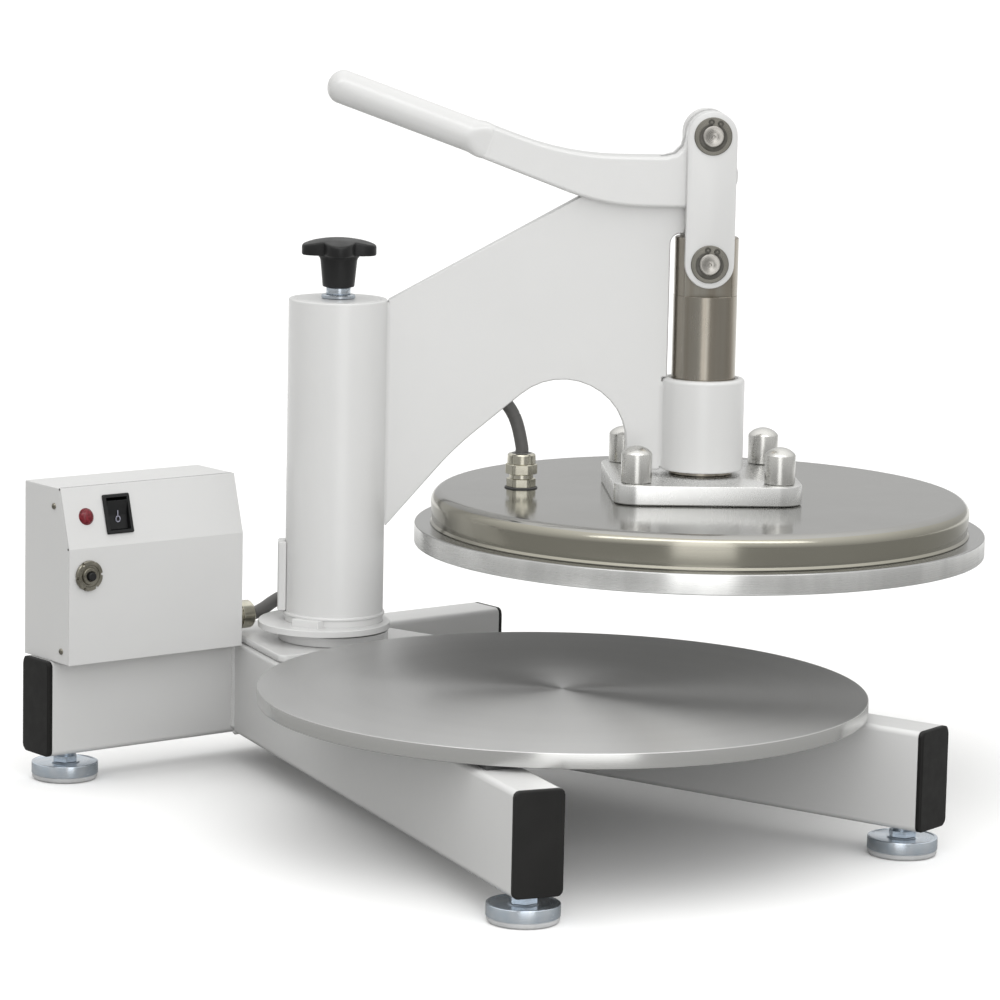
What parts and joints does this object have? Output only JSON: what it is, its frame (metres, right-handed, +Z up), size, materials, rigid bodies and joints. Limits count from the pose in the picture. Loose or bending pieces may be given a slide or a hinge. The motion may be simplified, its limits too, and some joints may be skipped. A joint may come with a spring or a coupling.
{
  "type": "pizza dough press",
  "caption": "Hand press with a swinging column and arm, a crank handle and two round platens that flatten dough.",
  "frame": {"origin": "middle of the part's box at the floor, under the feet", "axes": "+X along the cross tube, away from the control box; -Y towards the lower platen's open front; +Z up"},
  "size_m": [0.699, 0.646, 0.5594],
  "materials": {
    "white_enamel": "glossy white powder coat",
    "machined_aluminium": "lathe-turned bare aluminium",
    "brushed_stainless": "spun and brushed stainless steel",
    "black_plastic": "moulded black plastic",
    "zinc_steel": "bluish zinc plating",
    "bare_steel": "ground steel",
    "nickel_brass": "nickel plating",
    "bronze": "plain bearing bronze",
    "lead_jacket": "satin dark grey jacket",
    "red_lens": "clear red lens",
    "strip_rubber": "dark rubber strip",
    "insulation": "pressed mineral wool"
  },
  "bodies": {
    "base": {"cross_tube": "white_enamel", "leg_left": "white_enamel", "leg_right": "white_enamel", "cap_cross_left": "black_plastic", "cap_cross_right": "black_plastic", "cap_leg_left": "black_plastic", "cap_leg_right": "black_plastic", "base_plate": "white_enamel", "post": "bare_steel", "lower_platen": "machined_aluminium", "platen_strip_left": "strip_rubber", "platen_strip_right": "strip_rubber", "box_shell": "white_enamel", "box_panel": "white_enamel", "power_lamp": "red_lens", "switch_frame": "black_plastic", "breaker_nut": "nickel_brass", "box_gland": "nickel_brass", "mains_gland": "nickel_brass", "base_lead": "lead_jacket"},
    "foot_cross_left": {"foot_pad_cross_left": "zinc_steel", "foot_stem_cross_left": "zinc_steel"},
    "foot_cross_right": {"foot_pad_cross_right": "zinc_steel", "foot_stem_cross_right": "zinc_steel"},
    "foot_leg_left": {"foot_pad_leg_left": "zinc_steel", "foot_stem_leg_left": "zinc_steel"},
    "foot_leg_right": {"foot_pad_leg_right": "zinc_steel", "foot_stem_leg_right": "zinc_steel"},
    "rocker": {"switch_rocker": "black_plastic"},
    "breaker": {"breaker_button": "black_plastic"},
    "bush_carrier": {"swing_bush": "bronze"},
    "arm": {"column": "white_enamel", "column_cap": "white_enamel", "column_flange": "white_enamel", "column_cover": "white_enamel", "arm_plate": "white_enamel", "press_sleeve": "white_enamel", "guide_bush": "bronze", "pivot_pin": "bare_steel", "adjuster_nut": "zinc_steel", "platen_lead": "lead_jacket"},
    "adjuster": {"adjuster_knob": "black_plastic", "adjuster_screw": "zinc_steel"},
    "handle": {"handle_fork": "white_enamel", "handle_grip": "white_enamel", "crank_pin": "bare_steel"},
    "links": {"link_front": "white_enamel", "link_rear": "white_enamel"},
    "press": {"plunger": "brushed_stainless", "plunger_pin": "bare_steel", "mount_plate": "machined_aluminium", "mount_post_back_left": "machined_aluminium", "mount_post_back_right": "machined_aluminium", "mount_post_front_left": "machined_aluminium", "mount_post_front_right": "machined_aluminium", "platen_pan": "brushed_stainless", "heater_pack": "insulation", "upper_platen": "machined_aluminium", "platen_gland": "nickel_brass"}
  },
  "joints": [
    {"name": "arm_swing", "type": "hinge", "parent": "base", "child": "bush_carrier", "pos_m": [-0.11896, 0.19765, 0.2], "axis": [0, 0, 1], "range_deg": [-55.2, 34.8], "deforming": ["base_lead"]},
    {"name": "arm_lift", "type": "slide", "parent": "bush_carrier", "child": "arm", "axis": [0, 0, 1], "range_m": [-0.0015, 0.003]},
    {"name": "adjuster_turn", "type": "hinge", "parent": "bush_carrier", "child": "adjuster", "pos_m": [-0.11896, 0.19765, 0.4], "axis": [0, 0, 1], "range_deg": [-720, 360]},
    {"name": "handle_turn", "type": "hinge", "parent": "arm", "child": "handle", "pos_m": [0.1209, 0.03094, 0.4817], "axis": [0.5707, 0.8211, 0], "range_deg": [0, 180]},
    {"name": "link_turn", "type": "hinge", "parent": "handle", "child": "links", "pos_m": [0.1209, 0.03094, 0.5132], "axis": [0.5707, 0.8211, 0], "range_deg": [-180, 0]},
    {"name": "press_slide", "type": "slide", "parent": "arm", "child": "press", "axis": [0, 0, -1], "range_m": [0, 0.063], "deforming": ["platen_lead"]},
    {"name": "rocker_turn", "type": "hinge", "parent": "base", "child": "rocker", "pos_m": [-0.29616, 0.24735, 0.21256], "axis": [1, 0, 0], "range_deg": [-22, 0]},
    {"name": "breaker_push", "type": "slide", "parent": "base", "child": "breaker", "axis": [0, 1, 0], "range_m": [0, 0.002], "stiffness_N_per_m": 400, "springref_m": -0.002},
    {"name": "foot_turn_cross_left", "type": "hinge", "parent": "base", "child": "foot_cross_left", "pos_m": [-0.32146, 0.27755, 0.02], "axis": [0, 0, 1], "range_deg": [-360, 360]},
    {"name": "foot_turn_cross_right", "type": "hinge", "parent": "base", "child": "foot_cross_right", "pos_m": [0.07444, 0.27755, 0.02], "axis": [0, 0, 1], "range_deg": [-360, 360]},
    {"name": "foot_turn_leg_left", "type": "hinge", "parent": "base", "child": "foot_leg_left", "pos_m": [-0.29935, -0.27782, 0.02], "axis": [0, 0, 1], "range_deg": [-360, 360]},
    {"name": "foot_turn_leg_right", "type": "hinge", "parent": "base", "child": "foot_leg_right", "pos_m": [0.06143, -0.27782, 0.02], "axis": [0, 0, 1], "range_deg": [-360, 360]}
  ],
  "couplings": [
    {"joint": "adjuster_turn", "follows": "arm_lift", "rad_per_m": -4188.8},
    {"joint": "link_turn", "follows": "handle_turn", "ratio": -1},
    {"joint": "press_slide", "follows": "handle_turn", "m_per_rad": 0.02005}
  ]
}
